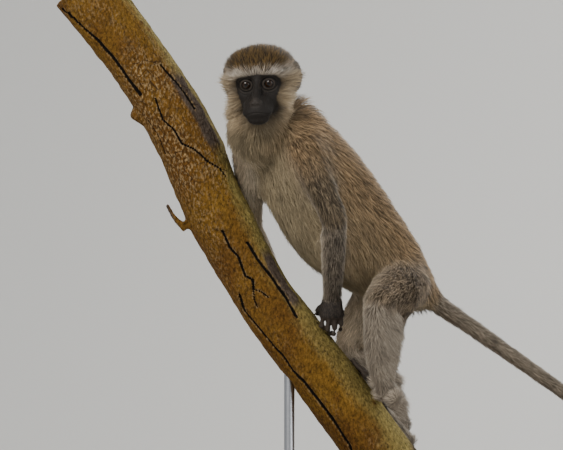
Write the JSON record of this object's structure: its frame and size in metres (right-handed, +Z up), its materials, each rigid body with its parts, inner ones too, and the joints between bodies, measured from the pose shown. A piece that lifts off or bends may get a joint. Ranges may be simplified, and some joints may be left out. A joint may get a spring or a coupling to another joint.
{
  "type": "vervet monkey model on a branch perch",
  "caption": "Life-size still model of a vervet monkey climbing a sloping length of branch, its tail out behind, on a flat base with rods.",
  "frame": {"origin": "middle of the underside of the stand base, where it rests", "axes": "+Z up, the monkey faces -Y with its left side to +X, the branch climbs from +X to -X"},
  "size_m": [0.9492, 0.3, 0.7343],
  "materials": {
    "coat_head": "speckled olive-brown fur with a white brow band and cheeks",
    "coat_body": "soft grey-brown fur, cream below",
    "coat_limb": "short speckled grey fur",
    "coat_tail": "short grey fur, darker at the tip",
    "skin": "dark bare skin, finely wrinkled",
    "eye": "wet dark brown",
    "nail": "smooth dark horn",
    "bark": "powdery ochre bark with long cracks",
    "stand_base": "dark satin",
    "stand_rod": "brushed"
  },
  "bodies": {
    "root": {"branch": "bark", "stand_base": "stand_base", "stand_rod_lower": "stand_rod", "stand_rod_upper": "stand_rod", "head": "coat_head", "trunk": "coat_body", "neck": "coat_body", "eye_left": "eye", "eye_right": "eye", "ear_left": "skin", "ear_right": "skin", "upper_arm_left": "coat_limb", "upper_arm_right": "coat_limb", "forearm_left": "coat_limb", "forearm_right": "coat_limb", "hand_left": "skin", "hand_right": "skin", "thigh_left": "coat_limb", "thigh_right": "coat_limb", "shank_left": "coat_limb", "shank_right": "coat_limb", "foot_left": "skin", "foot_right": "skin", "tail_1": "coat_tail", "tail_2": "coat_tail", "tail_3": "coat_tail", "tail_4": "coat_tail"}
  },
  "joints": []
}
